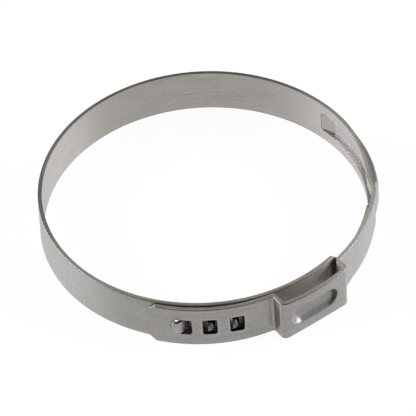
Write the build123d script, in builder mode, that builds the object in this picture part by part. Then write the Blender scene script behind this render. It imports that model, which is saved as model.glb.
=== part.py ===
import os
from math import degrees

from build123d import *

# Ear hose clamp: one stainless strip in its open state, hooked and ready for the pliers.
# Millimetres. The origin is on the ring's axis at mid-width, +Z runs along that axis, and the ear
# stands towards -Y. A turn is an angle about +Z in degrees, counted from the middle of the ear.
# The strip starts as a lap left of the ear, forms the ear, laps on to the step and the channel on
# the right, goes once round the hose, passes under the laps and ends as a tongue in the channel.

strip_width = 7.0
strip_thickness = 0.6
bore_radius = 23.43

# Round far side, and the stretch where the band springs out a little towards the channel
spring_start = 137.0
spring_extra_radius = 0.9
spring_sweep = 41.0

# Ear
crown_height = 2.5
crown_half_angle = 12.4
leg_lean = 0.8
shoulder_bend = 0.75
foot_bend = 0.75
dimple_turn = -0.8
dimple_length = 7.8
dimple_width = 2.9
dimple_depth = 0.8
dimple_draft = 25.0
dimple_floor_bend = 0.55
dimple_lip_bend = 0.4
dimple_wall = 0.2

# Left lap, its gaps to the band below, its clipped free end and its windows (turn, length)
foot_gap = 0.06
lap_middle_turn = -32.0
lap_middle_gap = 0.34
lap_end_turn = -56.6
lap_end_gap = 0.22
lap_end_chamfer = 1.1
windows = ((-26.6, 2.08), (-35.7, 2.08), (-44.6, 2.5))
window_height = 2.8
window_corner = 0.3

# Right lap and the step down from it to the channel's side strips
right_lap_gap = 0.5
step_turn = 48.6
step_bend = 1.6

# Channel, pressed outwards beyond the step. Its bed is the arc of its side strips, and a sweep
# is an angle about the centre of that arc, counted from the bed's end at the step.
channel_bed_radius = 22.9
channel_bed_sweep = 42.0
channel_mouth_turn = 49.0
crest_near_sweep = 0.5
crest_near_rise = 1.05
crest_far_sweep = 37.5
crest_far_rise = 0.6
channel_end_sweep = 43.5
channel_ramp_bend = 1.5
groove_width = 3.5
groove_corner = 0.4
channel_wall = 0.5
bead_corner = 0.8

# Inner end of the strip: it drifts outwards, full width to the shoulders, then the tongue
drift_start_turn = -20.0
drift_extra_radius = 0.8
shoulder_sweep = 37.4
tongue_width = 2.7
tongue_length = 12.2
tongue_tip_radius = 1.2

# Half-dome hooks that stand in the two plain windows
hook_turns = (-28.2, -36.4)
hook_radius = 1.05
hook_skin = 0.45
hook_stand = 0.2

# Guide hook: a lanced tab that leans out through the third window and over the lap
tab_width = 2.2
tab_thickness = 0.54
tab_root_turn = -41.0
tab_foot_turn = -43.2
tab_top_turn = -46.4
tab_tip_turn = -48.9
tab_clearance = 0.06
tab_bend = 0.5
tab_tip_radius = 1.0
tab_slot_length = 2.8
tab_slot_margin = 0.12

# Radii of the middle of the strip's thickness, on the band, on a touching lap and on the crown
band_radius = bore_radius + strip_thickness / 2
lap_radius = band_radius + strip_thickness
crown_radius = lap_radius + crown_height
dimple_floor = crown_radius + strip_thickness / 2 - dimple_depth
tab_radius = lap_radius + lap_end_gap + strip_thickness + tab_clearance


def at(radius, turn):
    """A point at a radius and a turn."""
    return Vector(0, -radius).rotate(Axis.Z, turn)


def facing(radius, turn):
    """A plane at a radius and a turn that faces outwards, X along the strip and Y up."""
    return Plane(origin=at(radius, turn), x_dir=at(1, turn + 90), z_dir=at(1, turn))


def arc_at(radius, start_turn, end_turn):
    """Draw an arc about the ring's axis."""
    middle = at(radius, (start_turn + end_turn) / 2)
    return ThreePointArc(at(radius, start_turn), middle, at(radius, end_turn))


def bend(line, corner, radius):
    """Round the corner of a line nearest to a point."""
    fillet(line.vertices().sort_by_distance(corner)[0], radius)


def draw_beside(path, distance):
    """Draw the lines and arcs of a path again, moved sideways to its left."""
    drawn = []
    for edge in path:
        start, middle, end = (
            edge.position_at(part) + edge.tangent_at(part).rotate(Axis.Z, 90) * distance
            for part in (0, 0.5, 1)
        )
        is_line = edge.geom_type == GeomType.LINE
        drawn.append(Line(start, end) if is_line else ThreePointArc(start, middle, end))
    return drawn


def extrude_strip(path, width, thickness=strip_thickness):
    """Extrude a strip that follows a path, half its thickness on each side."""
    with BuildSketch() as profile:
        with BuildLine():
            left = draw_beside(path, thickness / 2)
            right = draw_beside(path, -thickness / 2)
            Line(left[0] @ 0, right[0] @ 0)
            Line(left[-1] @ 1, right[-1] @ 1)
        make_face()
    extrude(profile.sketch, amount=width / 2, both=True)


def end_corners(strip, end):
    """The two short edges of a strip's end face nearest to a point."""
    end_face = strip.faces().sort_by_distance(end)[0]
    return end_face.edges().group_by(SortBy.LENGTH)[0]


# Path of the outer run, from the far side through the channel's bed and the ear to the free end
right_lap_radius = lap_radius + right_lap_gap
foot_turn = crown_half_angle + leg_lean
with BuildLine() as outer_line:
    spring = JernArc(
        at(band_radius, spring_start), at(1, spring_start - 90),
        band_radius + spring_extra_radius, -spring_sweep,
    )
    bed = JernArc(spring @ 1, spring % 1, channel_bed_radius, -channel_bed_sweep)
    right_lap = arc_at(right_lap_radius, step_turn, foot_turn)
    Line(bed @ 1, right_lap @ 0)
    crown = arc_at(crown_radius, crown_half_angle, -crown_half_angle)
    Line(right_lap @ 1, crown @ 0)
    left_lap = ThreePointArc(
        at(lap_radius + foot_gap, -foot_turn),
        at(lap_radius + lap_middle_gap, lap_middle_turn),
        at(lap_radius + lap_end_gap, lap_end_turn),
    )
    Line(crown @ 1, left_lap @ 0)
    bend(outer_line, bed @ 1, step_bend)
    bend(outer_line, right_lap @ 0, step_bend)
    bend(outer_line, right_lap @ 1, foot_bend)
    bend(outer_line, crown @ 0, shoulder_bend)
    bend(outer_line, crown @ 1, shoulder_bend)
    bend(outer_line, left_lap @ 0, foot_bend)
outer_path = outer_line.wire().order_edges()

# Path of the inner run, from the far side round to the shoulders, and that of the tongue
drift_radius = band_radius + drift_extra_radius
with BuildLine() as inner_line:
    ring = JernArc(
        at(band_radius, spring_start), at(1, spring_start + 90),
        band_radius, 360 + drift_start_turn - spring_start,
    )
    drift = JernArc(ring @ 1, ring % 1, drift_radius, shoulder_sweep)
with BuildLine() as tongue_line:
    JernArc(drift @ 1, drift % 1, drift_radius, degrees(tongue_length / drift_radius))

# Path of the channel's crest, from its closed end up a ramp and down another to the right lap
bed_centre = bed.arc_center
bed_end = (bed @ 1 - bed_centre).normalized()


def over_bed(sweep, rise):
    """A point at a height over the middle of the channel's bed, at a sweep."""
    return bed_centre + bed_end.rotate(Axis.Z, sweep) * (channel_bed_radius + rise)


with BuildLine() as crest_line:
    crest = ThreePointArc(
        over_bed(crest_far_sweep, crest_far_rise),
        over_bed((crest_far_sweep + crest_near_sweep) / 2, (crest_far_rise + crest_near_rise) / 2),
        over_bed(crest_near_sweep, crest_near_rise),
    )
    Line(over_bed(channel_end_sweep, 0), crest @ 0)
    Line(crest @ 1, at(right_lap_radius, channel_mouth_turn))
    bend(crest_line, crest @ 0, channel_ramp_bend)
    bend(crest_line, crest @ 1, channel_ramp_bend)
crest_path = crest_line.wire().order_edges()


def press_channel(distance, width, corner):
    """A round-edged solid from the bed's centre out to the crest, moved out by a distance."""
    with BuildPart() as pressing:
        with BuildSketch():
            with BuildLine():
                rim = draw_beside(crest_path, distance)
                Polyline(rim[0] @ 0, bed_centre, rim[-1] @ 1)
            make_face()
        extrude(amount=width / 2, both=True)
        flanks = pressing.faces().filter_by(Axis.Z)
        rims = [edge for flank in flanks for edge in flank.edges().sort_by_distance(bed_centre)[2:]]
        fillet(rims, corner)
    return pressing.part


def press_dimple(start_radius, floor_radius, wall):
    """A slot with sloping walls, grown sideways by a wall, from one radius down to another."""
    with BuildPart() as pressing:
        with BuildSketch(facing(start_radius, dimple_turn)):
            SlotOverall(dimple_length + 2 * wall, dimple_width + 2 * wall)
        extrude(amount=floor_radius - start_radius, taper=dimple_draft)
        fillet(pressing.faces().sort_by(Axis.Y)[-1].edges(), dimple_floor_bend)
    return pressing.part


# Everything inside the outer run, which trims the bead that stands over the channel
with BuildPart() as ring_interior:
    with BuildSketch():
        with BuildLine():
            inner_side = draw_beside(outer_path, -strip_thickness / 2)
            Line(inner_side[-1] @ 1, inner_side[0] @ 0)
        make_face()
    extrude(amount=strip_width, both=True)

bead_width = groove_width + 2 * channel_wall
with BuildPart() as outer_run:
    extrude_strip(outer_path, strip_width)
    chamfer(end_corners(outer_run, left_lap @ 1), lap_end_chamfer)
    add(press_channel(strip_thickness / 2, bead_width, bead_corner))
    add(ring_interior.part, mode=Mode.SUBTRACT)
    add(press_channel(-strip_thickness / 2, groove_width, groove_corner), mode=Mode.SUBTRACT)
    add(press_dimple(crown_radius - strip_thickness / 4, dimple_floor - strip_thickness, dimple_wall))
    add(press_dimple(crown_radius + strip_thickness, dimple_floor, 0), mode=Mode.SUBTRACT)
    crown_face = outer_run.faces().filter_by(GeomType.CYLINDER).sort_by(Axis.Y)[0]
    fillet(crown_face.inner_wires()[0].edges(), dimple_lip_bend)
    for turn, length in windows:
        with BuildSketch(facing(lap_radius, turn)):
            RectangleRounded(length, window_height, window_corner)
        extrude(amount=2 * strip_thickness, both=True, mode=Mode.SUBTRACT)


def half_dome(radius, neck):
    """Half of a round cap on a neck of a length, on the +X side of its cut."""
    with BuildPart() as dome:
        with BuildSketch(Plane.YZ):
            with BuildLine():
                cap = CenterArc((0, 0), radius, 0, 90)
                Polyline(cap @ 1, (0, -neck), (radius, -neck), cap @ 0)
            make_face()
        revolve(axis=Axis.Z, revolution_arc=-180)
    return dome.part


with BuildPart() as guide_tab:
    with BuildLine() as tab_line:
        root = arc_at(band_radius, tab_root_turn, tab_foot_turn)
        top = arc_at(tab_radius, tab_top_turn, tab_tip_turn)
        Line(root @ 1, top @ 0)
        bend(tab_line, root @ 1, tab_bend)
        bend(tab_line, top @ 0, tab_bend)
    extrude_strip(tab_line.wire().order_edges(), tab_width, tab_thickness)
    fillet(end_corners(guide_tab, top @ 1), tab_tip_radius)

with BuildPart() as tongue:
    extrude_strip(tongue_line.edges(), tongue_width)
    fillet(end_corners(tongue, tongue_line.line @ 1), tongue_tip_radius)

with BuildPart() as inner_run:
    extrude_strip(inner_line.wire().order_edges(), strip_width)
    chamfer(end_corners(inner_run, drift @ 1), (strip_width - tongue_width) / 2)
    with Locations([facing(bore_radius + strip_thickness + hook_stand, turn) for turn in hook_turns]):
        add(half_dome(hook_radius, strip_thickness / 2 + hook_stand))
        add(half_dome(hook_radius - hook_skin, strip_thickness + 2 * hook_stand), mode=Mode.SUBTRACT)
    with BuildSketch(facing(band_radius, (tab_foot_turn + tab_tip_turn) / 2)):
        Rectangle(tab_slot_length, tab_width + 2 * tab_slot_margin)
    extrude(amount=strip_thickness, both=True, mode=Mode.SUBTRACT)
    add(guide_tab.part)
    add(tongue.part)

with BuildPart() as clamp_band:
    add(outer_run.part)
    add(inner_run.part)

os.makedirs("parts", exist_ok=True)
clamp_band.part.label = "clamp_band"
export_step(clamp_band.part, "parts/clamp_band.step")
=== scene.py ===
import math
import bpy
import bmesh
from mathutils import Matrix, Vector


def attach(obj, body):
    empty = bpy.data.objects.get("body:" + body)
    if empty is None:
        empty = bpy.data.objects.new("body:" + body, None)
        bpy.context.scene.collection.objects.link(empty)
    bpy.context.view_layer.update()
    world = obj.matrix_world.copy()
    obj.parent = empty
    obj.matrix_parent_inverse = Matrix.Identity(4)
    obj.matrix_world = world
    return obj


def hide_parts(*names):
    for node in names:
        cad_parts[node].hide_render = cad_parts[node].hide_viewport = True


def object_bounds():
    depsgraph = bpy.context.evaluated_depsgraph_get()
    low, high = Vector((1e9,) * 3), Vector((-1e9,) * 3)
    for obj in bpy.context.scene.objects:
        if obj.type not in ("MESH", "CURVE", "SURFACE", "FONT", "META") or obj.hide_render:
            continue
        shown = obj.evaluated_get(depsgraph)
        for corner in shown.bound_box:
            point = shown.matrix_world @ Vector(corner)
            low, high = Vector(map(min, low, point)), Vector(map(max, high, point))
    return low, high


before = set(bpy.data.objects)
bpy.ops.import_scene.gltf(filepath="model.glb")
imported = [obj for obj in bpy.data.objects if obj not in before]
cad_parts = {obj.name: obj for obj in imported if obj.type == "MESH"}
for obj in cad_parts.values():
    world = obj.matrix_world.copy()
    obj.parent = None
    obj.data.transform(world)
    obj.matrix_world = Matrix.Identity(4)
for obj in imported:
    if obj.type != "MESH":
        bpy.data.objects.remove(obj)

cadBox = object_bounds()
crownRadius = -cadBox[0][1]   # the ear's crown is what reaches furthest towards -Y
bpy.context.scene.view_settings.view_transform = 'Standard'
mm = 0.001


def srgbToLinear(hexColour):
    channels = [int(hexColour[i:i + 2], 16) / 255 for i in (1, 3, 5)]
    linear = [c / 12.92 if c <= 0.04045 else ((c + 0.055) / 1.055) ** 2.4 for c in channels]
    return (*linear, 1.0)


def addNode(tree, kind, settings=None, links=None):
    # settings are node properties or input values, links are input name -> output socket
    node = tree.nodes.new(kind)
    for name, value in (settings or {}).items():
        if isinstance(name, str) and hasattr(node, name):
            setattr(node, name, value)
        else:
            node.inputs[name].default_value = value
    for name, socket in (links or {}).items():
        tree.links.new(socket, node.inputs[name])
    return node


cameraSetup = {
    "distance": 1500 * mm,
    "turn": -35.0,       # degrees about +Z from a camera that looks along +Y
    "elevation": 45.22,
    "roll": -3.82,
    "pixelSize": mm / 6.886,
    "imageSize": 416,
    "ringCentre": (204.13, 203.94),   # pixel where the ring's centre falls
    "sensor": 36.0,
    "clip": (0.05, 20),
}


def makeCamera(setup):
    data = bpy.data.cameras.new("camera")
    camera = bpy.data.objects.new("camera", data)
    bpy.context.scene.collection.objects.link(camera)
    turn = (Matrix.Rotation(math.radians(setup["turn"]), 3, 'Z')
            @ Matrix.Rotation(math.radians(90 - setup["elevation"]), 3, 'X')
            @ Matrix.Rotation(math.radians(setup["roll"]), 3, 'Z'))
    half = setup["imageSize"] / 2
    aside = (half - setup["ringCentre"][0]) * setup["pixelSize"]
    above = (setup["ringCentre"][1] - half) * setup["pixelSize"]
    camera.location = turn @ Vector((aside, above, setup["distance"]))
    camera.rotation_euler = turn.to_euler()
    width = setup["imageSize"] * setup["pixelSize"]
    data.sensor_width = setup["sensor"]
    data.lens = setup["sensor"] * setup["distance"] / width
    data.clip_start, data.clip_end = setup["clip"]
    bpy.context.scene.camera = camera


makeCamera(cameraSetup)
print("camera ready")

stageSetup = {
    "floorSize": 6.0,
    "white": "#ffffff",
    "shadowShare": 0.05,   # how much of the floor's look is left to the lamps
}


def makeFloor(setup):
    mesh = bpy.data.meshes.new("floor")
    bm = bmesh.new()
    bmesh.ops.create_grid(bm, x_segments=1, y_segments=1, size=setup["floorSize"] / 2)
    bmesh.ops.translate(bm, verts=bm.verts, vec=(0, 0, cadBox[0][2]))
    bm.to_mesh(mesh)
    bm.free()
    floor = bpy.data.objects.new("floor", mesh)
    bpy.context.scene.collection.objects.link(floor)
    # reads as plain white and keeps a faint shadow under the strip
    paper = bpy.data.materials.new("white seamless paper")
    paper.use_nodes = True
    tree = paper.node_tree
    tree.nodes.clear()
    white = srgbToLinear(setup["white"])
    path = addNode(tree, "ShaderNodeLightPath")
    seen = addNode(tree, "ShaderNodeMath", {"operation": "ADD", "use_clamp": True},
                   {0: path.outputs["Is Camera Ray"], 1: path.outputs["Is Glossy Ray"]})
    seenAll = addNode(tree, "ShaderNodeMath", {"operation": "ADD", "use_clamp": True},
                      {0: seen.outputs[0], 1: path.outputs["Is Transmission Ray"]})
    share = addNode(tree, "ShaderNodeMath", {"operation": "MULTIPLY", 1: 1 - setup["shadowShare"]},
                    {0: seenAll.outputs[0]})
    matt = addNode(tree, "ShaderNodeBsdfDiffuse", {"Color": white})
    glow = addNode(tree, "ShaderNodeEmission", {"Color": white, "Strength": 1.0})
    mix = addNode(tree, "ShaderNodeMixShader", None,
                  {0: share.outputs[0], 1: matt.outputs[0], 2: glow.outputs[0]})
    addNode(tree, "ShaderNodeOutputMaterial", None, {"Surface": mix.outputs[0]})
    mesh.materials.append(paper)


makeFloor(stageSetup)

# bearings are degrees about +Z from +X, heights are degrees above the floor
lampSetup = {
    "lamps": {
        "overBack": {"bearing": 55, "height": 48, "size": (0.6, 0.4), "watts": 0.8, "colour": "#fff8ec"},
        "leftBack": {"bearing": 140, "height": 22, "size": (0.85, 0.4), "watts": 17.0, "colour": "#f3f5ff"},
        "rightBack": {"bearing": -28, "height": 22, "size": (0.85, 0.4), "watts": 17.0, "colour": "#f3f5ff"},
    },
    "away": 1.0,
    "world": "#ffffff",
    "worldStrength": 0.22,
}


def makeLamps(setup):
    for name, lamp in setup["lamps"].items():
        data = bpy.data.lights.new(name, 'AREA')
        data.shape = 'RECTANGLE'
        data.size, data.size_y = lamp["size"]
        data.energy = lamp["watts"]
        data.color = srgbToLinear(lamp["colour"])[:3]
        light = bpy.data.objects.new(name, data)
        aim = (Matrix.Rotation(math.radians(lamp["bearing"]), 3, 'Z')
               @ Matrix.Rotation(math.radians(-lamp["height"]), 3, 'Y'))
        light.location = aim @ Vector((setup["away"], 0, 0))
        light.rotation_euler = light.location.to_track_quat('Z', 'Y').to_euler()
        bpy.context.scene.collection.objects.link(light)
    world = bpy.data.worlds.new("studio")
    world.use_nodes = True
    tree = world.node_tree
    tree.nodes.clear()
    sky = addNode(tree, "ShaderNodeBackground",
                  {"Color": srgbToLinear(setup["world"]), "Strength": setup["worldStrength"]})
    addNode(tree, "ShaderNodeOutputWorld", None, {"Surface": sky.outputs[0]})
    bpy.context.scene.world = world


makeLamps(lampSetup)
print("floor and lamps ready")

steelSetup = {
    "warmColour": "#a19f97",       # where the rolling oil left a film
    "coolColour": "#a39fa2",
    "patchSize": 4.0 * mm,
    "patchDetail": 3.0,
    "patchRange": (0.35, 0.65),    # the span of the noise that the patches blend over
    "patchShare": 0.8,
    "lineColour": "#7d7873",       # the bottom of a rolling line
    "lineLength": 6.0 * mm,
    "lineSpacing": 0.25 * mm,      # the real ones are finer than 0.05 mm, too fine to show
    "lineDetail": 4.0,
    "lineFineness": 0.6,
    "lineRange": (0.5, 0.75),
    "lineShare": 0.3,
    "lineDepth": 0.004 * mm,
    "grainSize": 0.26 * mm,        # drawn coarse in the same way
    "grainDetail": 2.0,
    "grainRange": (0.45, 0.7),
    "grainShare": 0.4,
    "brushTurn": -14.5,            # degrees from the ear's middle
    "brushReach": 4.0,
    "brushSpacing": 0.22 * mm,     # drawn coarse in the same way
    "brushLength": 3.0 * mm,
    "brushDetail": 3.0,
    "brushRange": (0.45, 0.7),
    "brushShare": 0.7,
    "wallRoughness": (0.31, 0.45),
    "wallRange": (0.3, 0.7),
    "wallAnisotropy": 0.75,
    "wallRotation": 0.25,          # a quarter turn, which smears highlights across the rolling lines
    "edgeColour": "#bfbcb0",
    "edgeRoughness": (0.36, 0.42),
    "edgeDetail": 3.0,
    "edgeRagged": 0.3,             # of the thickness, how far the broken band wanders
    "edgeBlend": 0.15,
    "brokenColour": "#6f6b5f",
    "brokenShare": 0.32,           # of the thickness, next to the inner skin
    # the rolled-over outer edge is real; its darker colour is painted shade, a painted dark reflection that
    # also dims its highlight
    "rolledColour": "#787670",
    "rolledShare": 0.85,           # of the thickness, past which the shear rolled the edge over
    # painted shade in the windows, the groove's corners, on the hooks, in the dimple, on the far rims and the
    # guide hook's cut sides
    "paintedShadeColour": "#171412",
    # painted light in the ear's hollow and on the inner skin
    "paintedLightColour": "#c3beb6",
    "skinRadius": 24.55 * mm,      # the laps' outer skin lies beyond it
    "windowTurns": (-26.6, -35.7, -44.6),
    "windowWidth": 2.1 * mm,
    "windowHeight": 2.8 * mm,
    "windowLip": 0.05 * mm,        # how far past a window's sides its painted shade reaches
    "windowFloor": 23.8 * mm,      # nothing nearer the axis is in a window
    "windowBed": 24.2 * mm,        # radius at which the windows' bottoms are darkest
    "windowSkin": 25.2 * mm,       # radius at which the dark has gone
    "windowDark": 0.78,
    "haloWidth": 0.7 * mm,         # a brighter border round each window on the outer skin
    "haloColour": "#b3adb0",
    "haloShare": 0.5,
}


def makeRolledSteel(setup):
    # cold-rolled stainless strip: satin, with rolling lines along it that smear highlights across it
    steel = bpy.data.materials.new("cold-rolled stainless strip")
    steel.use_nodes = True
    tree = steel.node_tree
    tree.nodes.clear()
    place = addNode(tree, "ShaderNodeTexCoord")
    spot = place.outputs["Object"]
    axes = addNode(tree, "ShaderNodeSeparateXYZ", None, {0: spot})
    flat = addNode(tree, "ShaderNodeCombineXYZ", None, {0: axes.outputs[0], 1: axes.outputs[1]})
    radius = addNode(tree, "ShaderNodeVectorMath", {"operation": "LENGTH"}, {0: flat.outputs[0]})
    back = addNode(tree, "ShaderNodeMath", {"operation": "MULTIPLY", 1: -1.0}, {0: axes.outputs[1]})
    turn = addNode(tree, "ShaderNodeMath", {"operation": "ARCTAN2"},
                   {0: axes.outputs[0], 1: back.outputs[0]})
    rise = addNode(tree, "ShaderNodeMath", {"operation": "ABSOLUTE"}, {0: axes.outputs[2]})

    # soft patches of film, rolling lines and fine grain
    low, high = setup["patchRange"]
    patches = addNode(tree, "ShaderNodeTexNoise",
                      {"Scale": 1 / setup["patchSize"], "Detail": setup["patchDetail"]}, {"Vector": spot})
    patchShare = addNode(tree, "ShaderNodeMapRange",
                         {"From Min": low, "From Max": high, "To Max": setup["patchShare"]},
                         {"Value": patches.outputs["Fac"]})
    warmth = addNode(tree, "ShaderNodeMix",
                     {"data_type": "RGBA", 6: srgbToLinear(setup["warmColour"]),
                      7: srgbToLinear(setup["coolColour"])}, {0: patchShare.outputs[0]})
    around, across = 1 / setup["lineLength"], 1 / setup["lineSpacing"]
    stretch = addNode(tree, "ShaderNodeMapping", {"Scale": (around, around, across)}, {"Vector": spot})
    lines = addNode(tree, "ShaderNodeTexNoise",
                    {"Scale": 1.0, "Detail": setup["lineDetail"], "Roughness": setup["lineFineness"]},
                    {"Vector": stretch.outputs[0]})
    low, high = setup["lineRange"]
    lineDark = addNode(tree, "ShaderNodeMapRange",
                       {"From Min": low, "From Max": high, "To Max": setup["lineShare"]},
                       {"Value": lines.outputs["Fac"]})
    lined = addNode(tree, "ShaderNodeMix", {"data_type": "RGBA", 7: srgbToLinear(setup["lineColour"])},
                    {0: lineDark.outputs[0], 6: warmth.outputs[2]})
    low, high = setup["grainRange"]
    grain = addNode(tree, "ShaderNodeTexNoise",
                    {"Scale": 1 / setup["grainSize"], "Detail": setup["grainDetail"]}, {"Vector": spot})
    grainDark = addNode(tree, "ShaderNodeMapRange",
                        {"From Min": low, "From Max": high, "To Max": setup["grainShare"]},
                        {"Value": grain.outputs["Fac"]})
    grained = addNode(tree, "ShaderNodeMix", {"data_type": "RGBA", 7: srgbToLinear(setup["lineColour"])},
                      {0: grainDark.outputs[0], 6: lined.outputs[2]})

    # brush marks across the outer skin, beside the ear's left foot
    onSkin = addNode(tree, "ShaderNodeMath", {"operation": "GREATER_THAN", 1: setup["skinRadius"]},
                     {0: radius.outputs["Value"]})
    around, across = 1 / setup["brushSpacing"], 1 / setup["brushLength"]
    upright = addNode(tree, "ShaderNodeMapping", {"Scale": (around, around, across)}, {"Vector": spot})
    brush = addNode(tree, "ShaderNodeTexNoise", {"Scale": 1.0, "Detail": setup["brushDetail"]},
                    {"Vector": upright.outputs[0]})
    low, high = setup["brushRange"]
    brushDark = addNode(tree, "ShaderNodeMapRange",
                        {"From Min": low, "From Max": high, "To Max": setup["brushShare"]},
                        {"Value": brush.outputs["Fac"]})
    fromBrush = addNode(tree, "ShaderNodeMath",
                        {"operation": "SUBTRACT", 1: math.radians(setup["brushTurn"])},
                        {0: turn.outputs[0]})
    besideBrush = addNode(tree, "ShaderNodeMath", {"operation": "ABSOLUTE"}, {0: fromBrush.outputs[0]})
    brushed = addNode(tree, "ShaderNodeMapRange",
                      {"interpolation_type": "SMOOTHSTEP", "From Min": math.radians(setup["brushReach"]),
                       "From Max": 0.0}, {"Value": besideBrush.outputs[0]})
    brushMask = addNode(tree, "ShaderNodeMath", {"operation": "MULTIPLY"},
                        {0: brushed.outputs[0], 1: brushDark.outputs[0]})
    skinMask = addNode(tree, "ShaderNodeMath", {"operation": "MULTIPLY"},
                       {0: brushMask.outputs[0], 1: onSkin.outputs[0]})
    marked = addNode(tree, "ShaderNodeMix", {"data_type": "RGBA", 7: srgbToLinear(setup["lineColour"])},
                     {0: skinMask.outputs[0], 6: grained.outputs[2]})

    # how far a point lies outside the nearest window, negative inside it
    beside = None
    for middle in setup["windowTurns"]:
        offset = addNode(tree, "ShaderNodeMath", {"operation": "SUBTRACT", 1: math.radians(middle)},
                         {0: turn.outputs[0]})
        width = addNode(tree, "ShaderNodeMath", {"operation": "ABSOLUTE"}, {0: offset.outputs[0]})
        if beside is None:
            beside = width
        else:
            beside = addNode(tree, "ShaderNodeMath", {"operation": "MINIMUM"},
                             {0: beside.outputs[0], 1: width.outputs[0]})
    beside = addNode(tree, "ShaderNodeMath",
                     {"operation": "MULTIPLY_ADD", 1: setup["windowSkin"], 2: -setup["windowWidth"] / 2},
                     {0: beside.outputs[0]})
    above = addNode(tree, "ShaderNodeMath", {"operation": "SUBTRACT", 1: setup["windowHeight"] / 2},
                    {0: rise.outputs[0]})
    outside = addNode(tree, "ShaderNodeMath", {"operation": "MAXIMUM"},
                      {0: beside.outputs[0], 1: above.outputs[0]})
    halo = addNode(tree, "ShaderNodeMapRange",
                   {"interpolation_type": "SMOOTHSTEP", "From Min": setup["haloWidth"], "From Max": 0.0,
                    "To Max": setup["haloShare"]}, {"Value": outside.outputs[0]})
    haloMask = addNode(tree, "ShaderNodeMath", {"operation": "MULTIPLY"},
                       {0: halo.outputs[0], 1: onSkin.outputs[0]})
    haloed = addNode(tree, "ShaderNodeMix", {"data_type": "RGBA", 7: srgbToLinear(setup["haloColour"])},
                     {0: haloMask.outputs[0], 6: marked.outputs[2]})

    # painted shade in the windows: the deeper, the darker
    inWindow = addNode(tree, "ShaderNodeMath", {"operation": "LESS_THAN", 1: setup["windowLip"]},
                       {0: outside.outputs[0]})
    overBore = addNode(tree, "ShaderNodeMath", {"operation": "GREATER_THAN", 1: setup["windowFloor"]},
                       {0: radius.outputs["Value"]})
    depth = addNode(tree, "ShaderNodeMapRange",
                    {"From Min": setup["windowBed"], "From Max": setup["windowSkin"],
                     "To Min": setup["windowDark"], "To Max": 0.0}, {"Value": radius.outputs["Value"]})
    holed = addNode(tree, "ShaderNodeMath", {"operation": "MULTIPLY"},
                    {0: inWindow.outputs[0], 1: overBore.outputs[0]})
    windowPaintedShade = addNode(tree, "ShaderNodeMath", {"operation": "MULTIPLY"},
                        {0: holed.outputs[0], 1: depth.outputs[0]})
    marks = addNode(tree, "ShaderNodeUVMap", {"uv_map": "marks"})
    markAxes = addNode(tree, "ShaderNodeSeparateXYZ", None, {0: marks.outputs[0]})
    # painted shade: the windows' depth shade plus the marks' v
    paintedShade = addNode(tree, "ShaderNodeMath", {"operation": "ADD", "use_clamp": True},
                  {0: windowPaintedShade.outputs[0], 1: markAxes.outputs[1]})

    # painted light: the inner skin and the ear's hollow are painted brighter
    shone = addNode(tree, "ShaderNodeMix", {"data_type": "RGBA", 7: srgbToLinear(setup["paintedLightColour"])},
                    {0: markAxes.outputs[0], 6: haloed.outputs[2]})
    colour = addNode(tree, "ShaderNodeMix", {"data_type": "RGBA", 7: srgbToLinear(setup["paintedShadeColour"])},
                     {0: paintedShade.outputs[0], 6: shone.outputs[2]})

    low, high = setup["wallRange"]
    smooth, rough = setup["wallRoughness"]
    satin = addNode(tree, "ShaderNodeMapRange",
                    {"From Min": low, "From Max": high, "To Min": smooth, "To Max": rough},
                    {"Value": lines.outputs["Fac"]})
    relief = addNode(tree, "ShaderNodeBump", {"Strength": 1.0, "Distance": setup["lineDepth"]},
                     {"Height": lines.outputs["Fac"]})
    along = addNode(tree, "ShaderNodeVectorMath", {"operation": "CROSS_PRODUCT", 0: (0, 0, 1)}, {1: spot})
    base = addNode(tree, "ShaderNodeBsdfPrincipled",
                   {"Metallic": 1.0, "Anisotropic": setup["wallAnisotropy"],
                    "Anisotropic Rotation": setup["wallRotation"]},
                   {"Tangent": along.outputs[0], "Base Color": colour.outputs[2],
                    "Roughness": satin.outputs[0], "Normal": relief.outputs[0]})
    addNode(tree, "ShaderNodeOutputMaterial", None, {"Surface": base.outputs[0]})
    return steel


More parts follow.
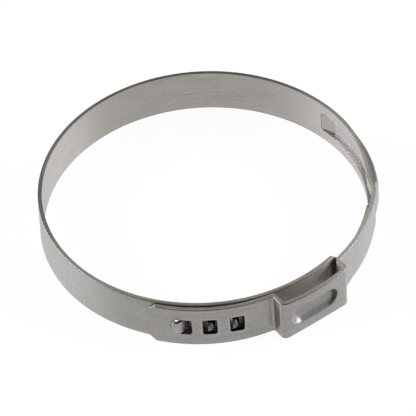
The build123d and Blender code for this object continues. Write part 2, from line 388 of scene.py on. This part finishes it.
def makeShearedSteel(setup):
    # slit edges: duller than the strip's faces, light where the blade burnished them, dark where
    # the strip broke
    steel = bpy.data.materials.new("slit edge of stainless strip")
    steel.use_nodes = True
    tree = steel.node_tree
    tree.nodes.clear()
    place = addNode(tree, "ShaderNodeTexCoord")
    across = addNode(tree, "ShaderNodeUVMap", {"uv_map": "slitEdge"})
    axes = addNode(tree, "ShaderNodeSeparateXYZ", None, {0: across.outputs[0]})
    grain = addNode(tree, "ShaderNodeTexNoise",
                    {"Scale": 1 / setup["grainSize"], "Detail": setup["edgeDetail"]},
                    {"Vector": place.outputs["Object"]})
    ragged = addNode(tree, "ShaderNodeMath",
                     {"operation": "MULTIPLY_ADD", 1: setup["edgeRagged"], 2: -setup["edgeRagged"] / 2},
                     {0: grain.outputs["Fac"]})
    height = addNode(tree, "ShaderNodeMath", {"operation": "ADD"}, {0: axes.outputs[1], 1: ragged.outputs[0]})
    broken = addNode(tree, "ShaderNodeMapRange",
                     {"From Min": setup["brokenShare"],
                      "From Max": setup["brokenShare"] + setup["edgeBlend"],
                      "To Min": 1.0, "To Max": 0.0}, {"Value": height.outputs[0]})
    # painted shade on the rolled-over outer edge
    rolled = addNode(tree, "ShaderNodeMapRange",
                     {"From Min": setup["rolledShare"] - setup["edgeBlend"],
                      "From Max": setup["rolledShare"]}, {"Value": axes.outputs[1]})
    outer = addNode(tree, "ShaderNodeMix",
                    {"data_type": "RGBA", 6: srgbToLinear(setup["edgeColour"]),
                     7: srgbToLinear(setup["rolledColour"])}, {0: rolled.outputs[0]})
    colour = addNode(tree, "ShaderNodeMix", {"data_type": "RGBA", 7: srgbToLinear(setup["brokenColour"])},
                     {0: broken.outputs[0], 6: outer.outputs[2]})
    # painted shade from the marks' v, on the far rims and the guide hook's cut sides
    marks = addNode(tree, "ShaderNodeUVMap", {"uv_map": "marks"})
    markAxes = addNode(tree, "ShaderNodeSeparateXYZ", None, {0: marks.outputs[0]})
    withPaintedShade = addNode(tree, "ShaderNodeMix", {"data_type": "RGBA", 7: srgbToLinear(setup["paintedShadeColour"])},
                    {0: markAxes.outputs[1], 6: colour.outputs[2]})
    smooth, rough = setup["edgeRoughness"]
    dull = addNode(tree, "ShaderNodeMapRange", {"To Min": smooth, "To Max": rough},
                   {"Value": grain.outputs["Fac"]})
    base = addNode(tree, "ShaderNodeBsdfPrincipled", {"Metallic": 1.0},
                   {"Base Color": withPaintedShade.outputs[2], "Roughness": dull.outputs[0]})
    addNode(tree, "ShaderNodeOutputMaterial", None, {"Surface": base.outputs[0]})
    return steel


# turns are degrees about +Z from the middle of the ear, and radii are from the ring's axis
stripSetup = {
    "mergeWithin": 0.001 * mm,
    "flatWithin": math.radians(0.5),
    "thickness": 0.6 * mm,
    "outerEdgeRound": 0.14 * mm,      # the shear rolls the strip's outer edges over
    "innerEdgeRound": 0.0,            # and leaves the inner ones sharp
    "otherEdgeRound": 0.05 * mm,
    "edgeSegments": 3,
    "edgeAngle": math.radians(28),
    "edgeFacing": 0.9,                # a face that looks this much up or down is a slit edge
    "wallFacing": 0.5,                # and one that looks less than this up or down is a skin
    "rimBand": 0.1 * mm,              # below the strip's top and above its bottom
    "tabStart": 25.0 * mm,            # radius past which the guide hook stands clear of the lap
    "tabTurn": -38,
    "tabFacing": 0.35,                # its cut sides look outwards less than this
    "earHalfTurn": 16,                # degrees either side of the ear's middle that hold all of it
    "earFoot": 24.4 * mm,             # radius past which a face belongs to the ear
    "earEye": crownRadius - 1.8 * mm,     # radius of the point that the ear's skins are judged from
    "earLean": 0.5 * mm,              # how far the ear's lower edge is drawn in at its middle
    "earLeanDepths": (2.2 * mm, 1.2 * mm),   # below the crown, where the lean starts and is full
    "earHalfAngle": 12.0,
    "earSkew": 0.25 * mm,             # how far its right leg's lower end stands back to the left
    "earSkewTurns": (-6, 12, 18, 42), # it grows over the first two and fades over the last two
    "lapLean": 0.42 * mm,             # how far the right lap's lower edge is drawn in
    "lapLeanTurns": (13, 24, 42, 58),
    "hollowFoot": 23.9 * mm,          # radius past which a face belongs to the ear's hollow
    "hollowEye": crownRadius - 1.4 * mm,     # radius of the point that the hollow's walls look at
    "hollowCrown": 0.3 * mm,          # how far under the crown's skin the hollow's own skin starts
    "hollowFacing": 0.5 * mm,         # how far a wall's plane lies from that point
    "innerPaintedLight": 0.24,               # painted light: the strip's inner skin is painted a little brighter than its outer one
    "grooveTurns": (50, 100),
    "grooveFoot": 23.0 * mm,          # radius past which a face belongs to the groove
    "grooveSides": (1.3 * mm, 1.8 * mm),     # the groove's corners lie this far above and below
    "grooveFacing": (0.2, 0.95),      # how far its corner faces look up or down
    "cornerPaintedShade": 0.8,                 # how dark the painted shade makes the corners of the channel's groove
    "hookTurns": steelSetup["windowTurns"][:2],
    "hookReach": 2.5,                 # degrees either side of a window's middle
    "hookFoot": 24.15 * mm,           # radius past which a face in a window belongs to its hook
    "hookTop": 1.45 * mm,             # the hooks reach this far above and below
    "hookUnderside": (-0.6, -0.25),   # a hook's underside and its left side get a painted highlight
    "hookLeftSide": (-0.9, -0.6),
    # painted shade on a hook's top, lifted again by a painted highlight on its underside and left side
    "hookPaintedShade": 0.6,
    "rimFacing": 0.95,
    "rimTurns": (60, 120),            # either side of the ear, where the rims' painted shade starts and is full
    "rimPaintedShade": 0.55,                   # painted shade: the slit edges round the far side are painted darker than the front ones
    # painted shade on the guide hook's cut sides
    "tabPaintedShade": 0.65,
    "dimpleTurn": -0.8,
    "dimpleSpine": 4.9 * mm,          # between the centres of the dimple's round ends
    "dimpleReach": 2.1 * mm,          # how far from the spine its lip may lie
    "dimpleDepth": 0.8 * mm,
    "dimpleUnder": 1.6 * mm,          # how far below the crown its underside may lie
    "dimpleSkin": 1.2 * mm,           # how far below the crown its outer skin may lie
    "dimpleSpread": 0.35 * mm,        # how far the lip is eased outwards
    "dimpleRoll": 0.9,                # of the depth, above which the lip is eased in full
    "dimpleDepths": (0.1 * mm, 0.5 * mm),    # below the crown, where painted shade starts and is full
    "dimpleSlope": (0.2, 0.5),        # how far a normal looks up, where painted shade starts and is full
    "dimpleEnd": (0.1, 0.45),         # and how far it looks left
    "dimplePaintedShade": (0.14, 0.3, 0.85),   # painted shade on the dimple's floor, its lower slope and its right end
}


def smoothStep(low, high, value):
    share = min(max((value - low) / (high - low), 0.0), 1.0)
    return share * share * (3 - 2 * share)


def turnOf(point):
    # degrees about +Z from the middle of the ear
    return math.degrees(math.atan2(point.x, -point.y))


def leanStrip(bm, setup):
    # the real band is drawn in a little along its lower edge, from the ear to the step
    bottom, top = cadBox[0][2], cadBox[1][2]
    rise, full, hold, fade = setup["lapLeanTurns"]
    skewRise, skewFull, skewHold, skewFade = setup["earSkewTurns"]
    leanStart, leanFull = (crownRadius - depth for depth in setup["earLeanDepths"])
    for vert in bm.verts:
        turn = turnOf(vert.co)
        low = (top - vert.co.z) / (top - bottom)
        onEar = smoothStep(leanStart, leanFull, vert.co.xy.length)
        ear = setup["earLean"] * onEar * max(0.0, 1 - (turn / setup["earHalfAngle"]) ** 2)
        lap = setup["lapLean"] * smoothStep(rise, full, turn) * (1 - smoothStep(hold, fade, turn))
        skew = (setup["earSkew"] * smoothStep(skewRise, skewFull, turn)
                * (1 - smoothStep(skewHold, skewFade, turn)))
        outward = vert.co.xy.normalized()
        vert.co.xy -= outward * (ear + lap) * low
        vert.co.xy += Vector((outward.y, -outward.x)) * skew * low


def dimpleOffset(point, setup):
    # from the dimple's spine to a point of the crown, as lengths along and across the strip
    along = (math.atan2(point.x, -point.y) - math.radians(setup["dimpleTurn"])) * crownRadius
    half = setup["dimpleSpine"] / 2
    return Vector((along - min(max(along, -half), half), point.z))


def easeDimple(bm, setup):
    # the pressed lip rolls over wider than the tool, and the floor stays where it is
    outerFloor = crownRadius - setup["dimpleDepth"]
    for vert in bm.verts:
        radius = vert.co.xy.length
        offset = dimpleOffset(vert.co, setup)
        if radius < crownRadius - setup["dimpleUnder"] or not 0 < offset.length <= setup["dimpleReach"]:
            continue
        height = (radius - outerFloor) / setup["dimpleDepth"]
        if height < 0:   # on the inner skin
            height = (radius - outerFloor + setup["thickness"]) / setup["dimpleDepth"]
        push = (offset.normalized() * setup["dimpleSpread"]
                * smoothStep(0.0, setup["dimpleRoll"], height))
        vert.co.z += push.y
        vert.co.xy = Matrix.Rotation(push.x / crownRadius, 2) @ vert.co.xy


def facesOut(face, setup):
    # True on the strip's outer skin, which is the side away from the axis or from the ear's hollow
    place = face.calc_center_median()
    onEar = abs(turnOf(place)) < setup["earHalfTurn"] and place.xy.length > setup["earFoot"]
    inDimple = onEar and dimpleOffset(place, setup).length < setup["dimpleReach"]
    eye = Vector((0, -setup["earEye"])) if onEar and not inDimple else Vector((0, 0))
    return face.normal.xy.dot(place.xy - eye) > 0


def paintedShadeAt(face, vert, setup):
    # how much painted shade darkens one corner of a face, below zero where a hook gets a painted highlight
    place = face.calc_center_median()
    turn = turnOf(place)
    radius = place.xy.length
    upward = abs(face.normal.z)

    # painted shade in the corners of the channel's groove
    first, last = setup["grooveTurns"]
    inner, outer = setup["grooveSides"]
    if first < turn < last and radius > setup["grooveFoot"] and inner < abs(place.z) < outer:
        low, high = setup["grooveFacing"]
        return setup["cornerPaintedShade"] if low < upward < high and not facesOut(face, setup) else 0.0

    # painted shade on the hooks' tops and a painted highlight on their undersides and left sides
    inWindow = any(abs(turn - middle) < setup["hookReach"] for middle in setup["hookTurns"])
    highest = max(abs(corner.co.z) for corner in face.verts)
    if inWindow and radius > setup["hookFoot"] and highest < setup["hookTop"]:
        rightwards = Vector((-place.y, place.x, 0)).normalized()
        dark = (smoothStep(*setup["hookUnderside"], vert.normal.z)
                * smoothStep(*setup["hookLeftSide"], face.normal.dot(rightwards)))
        return setup["hookPaintedShade"] * (2 * dark - 1)   # below zero it takes the window's painted shade off again, a painted highlight

    # painted shade on the guide hook's cut sides
    onTab = turn < setup["tabTurn"] and radius > setup["tabStart"]
    if face.material_index == 1 and onTab and upward < setup["rimFacing"]:
        return setup["tabPaintedShade"]
    # painted shade on the slit edges round the far side
    if upward > setup["rimFacing"]:
        return setup["rimPaintedShade"] * smoothStep(*setup["rimTurns"], abs(turnOf(vert.co)))

    # painted shade in the dimple: deeper, up-facing and left-facing spots are darker
    inDimple = dimpleOffset(vert.co, setup).length < setup["dimpleReach"]
    depth = crownRadius - vert.co.xy.length
    if inDimple and depth < setup["dimpleSkin"] and facesOut(face, setup):
        floor, slope, end = setup["dimplePaintedShade"]
        return max(floor * smoothStep(*setup["dimpleDepths"], depth),
                   slope * smoothStep(*setup["dimpleSlope"], vert.normal.z),
                   end * smoothStep(*setup["dimpleEnd"], -vert.normal.x))
    return 0.0


def markFaces(bm, setup):
    # marks for the steel: u is how much painted light brightens a spot, v is how much painted shade darkens
    # it
    marks = bm.loops.layers.uv.new("marks")
    eye = Vector((0, -setup["hollowEye"]))
    bm.normal_update()
    for face in bm.faces:
        place = face.calc_center_median()
        depth = crownRadius - place.xy.length
        underCrown = abs(turnOf(place)) < setup["earHalfTurn"] and depth > setup["hollowCrown"]
        inHollow = (underCrown and place.xy.length > setup["hollowFoot"]
                    and face.normal.xy.dot(eye - place.xy) > setup["hollowFacing"])
        if dimpleOffset(place, setup).length < setup["dimpleReach"] and depth < setup["dimpleUnder"]:
            inHollow = not facesOut(face, setup)
        # painted light on the inner skin, and in full in the ear's hollow
        bright = 0.0 if facesOut(face, setup) else setup["innerPaintedLight"]
        if inHollow:
            bright = 1.0
        for loop in face.loops:
            loop[marks].uv = (bright, paintedShadeAt(face, loop.vert, setup))


def sortFaces(bm, setup):
    # the slit edges and the guide hook's cut sides are sheared steel, and the rest is rolled
    for face in bm.faces:
        face.smooth = True
        place = face.calc_center_median()
        sideways = abs(face.normal.xy.dot(place.xy.normalized())) < setup["tabFacing"]
        onTab = place.xy.length > setup["tabStart"] and turnOf(place) < setup["tabTurn"] and sideways
        face.material_index = 1 if abs(face.normal.z) > setup["edgeFacing"] or onTab else 0


def weighEdges(bm, setup):
    # each sharp edge gets the share of the widest rounding that it takes
    weight = bm.edges.layers.float.new("bevel_weight_edge")
    rimHeight = cadBox[1][2] - setup["rimBand"]
    for edge in bm.edges:
        if len(edge.link_faces) != 2 or edge.calc_face_angle() < setup["edgeAngle"]:
            continue
        rims = [face for face in edge.link_faces if abs(face.calc_center_median().z) > rimHeight]
        walls = [face for face in edge.link_faces if face not in rims]
        size = setup["otherEdgeRound"]
        if rims and walls:
            size = setup["outerEdgeRound"] if facesOut(walls[0], setup) else setup["innerEdgeRound"]
        edge[weight] = size / setup["outerEdgeRound"]
        edge.smooth = size > 0


def mapSlitEdges(bm, setup):
    # v runs from 0 at the inner skin to 1 at the outer one, across the thickness
    edgeMap = bm.loops.layers.uv.new("slitEdge")
    for face in bm.faces:
        for loop in face.loops:
            walls = [other for other in loop.vert.link_faces if abs(other.normal.z) < setup["wallFacing"]]
            loop[edgeMap].uv = (0, 1 if any(facesOut(wall, setup) for wall in walls) else 0)


def makeStrip(setup):
    source = bpy.data.objects["clamp_band"]
    bm = bmesh.new()
    bm.from_mesh(source.data)
    bmesh.ops.remove_doubles(bm, verts=bm.verts, dist=setup["mergeWithin"])
    bmesh.ops.dissolve_limit(bm, angle_limit=setup["flatWithin"], verts=bm.verts, edges=bm.edges)
    bm.normal_update()
    sortFaces(bm, setup)
    weighEdges(bm, setup)
    mapSlitEdges(bm, setup)
    easeDimple(bm, setup)
    markFaces(bm, setup)
    leanStrip(bm, setup)
    mesh = bpy.data.meshes.new("steel_strip")
    bm.to_mesh(mesh)
    bm.free()
    strip = bpy.data.objects.new("steel_strip", mesh)
    bpy.context.scene.collection.objects.link(strip)
    rounding = strip.modifiers.new("edges", 'BEVEL')
    rounding.width = setup["outerEdgeRound"]
    rounding.segments = setup["edgeSegments"]
    rounding.limit_method = 'WEIGHT'
    rounding.use_clamp_overlap = False
    rounding.material = 1
    shading = strip.modifiers.new("shading", 'WEIGHTED_NORMAL')
    shading.mode = 'FACE_AREA'
    shading.keep_sharp = True
    mesh.materials.clear()
    mesh.materials.append(makeRolledSteel(steelSetup))
    mesh.materials.append(makeShearedSteel(steelSetup))
    return strip


strip = makeStrip(stripSetup)
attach(strip, "root")
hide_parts("clamp_band")
print("strip ready")
